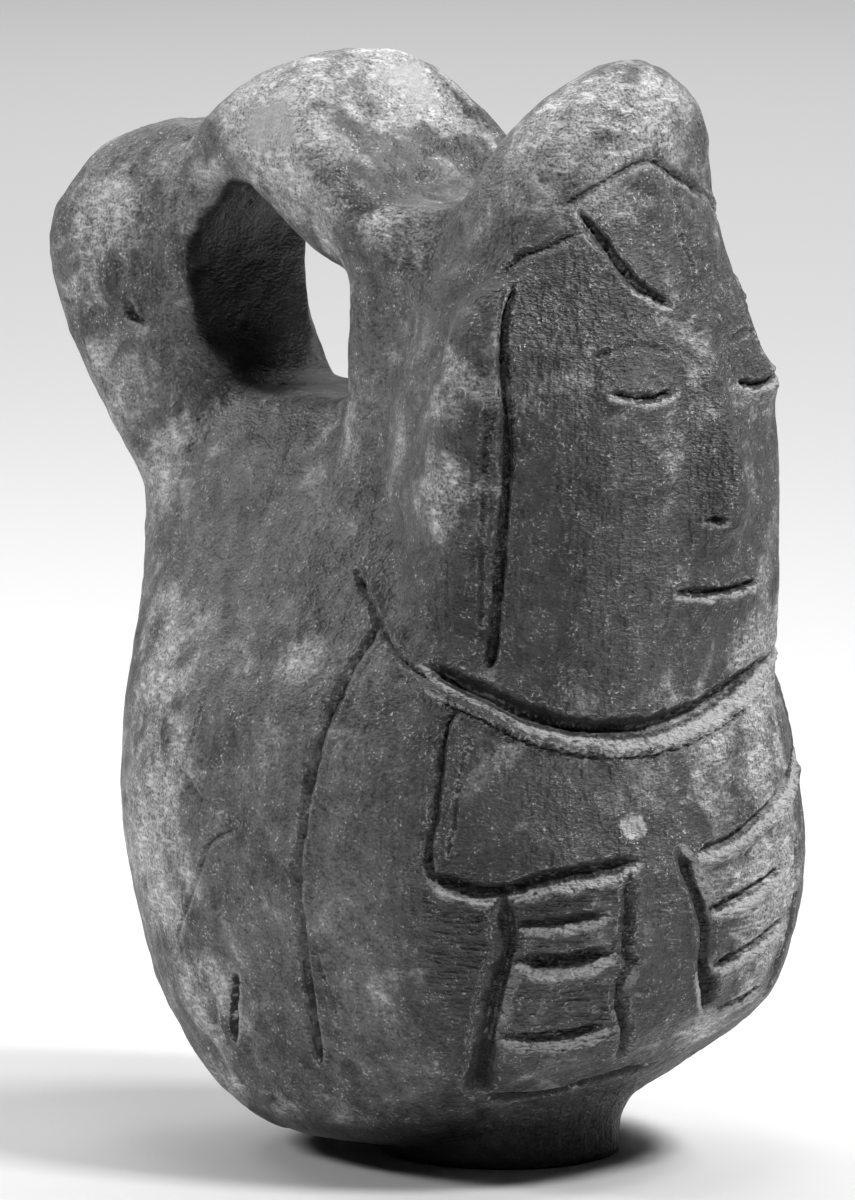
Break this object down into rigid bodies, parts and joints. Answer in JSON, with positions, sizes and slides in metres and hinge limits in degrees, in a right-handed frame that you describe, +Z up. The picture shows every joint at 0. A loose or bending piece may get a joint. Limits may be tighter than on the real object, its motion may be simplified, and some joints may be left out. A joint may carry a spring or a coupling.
{
  "type": "effigy vessel",
  "caption": "Dark clay effigy vessel: a hollow egg-shaped body with a human head, an open rear spout and a thick arch over a finger hole.",
  "frame": {"origin": "middle of the foot's flat underside", "axes": "+Z up, the figure faces -Y, its right side is at -X, and the finger hole runs along X"},
  "size_m": [0.0858, 0.1311, 0.1644],
  "materials": {
    "dark_clay": "burnished, weathered"
  },
  "bodies": {
    "root": {"vessel": "dark_clay"}
  },
  "joints": []
}
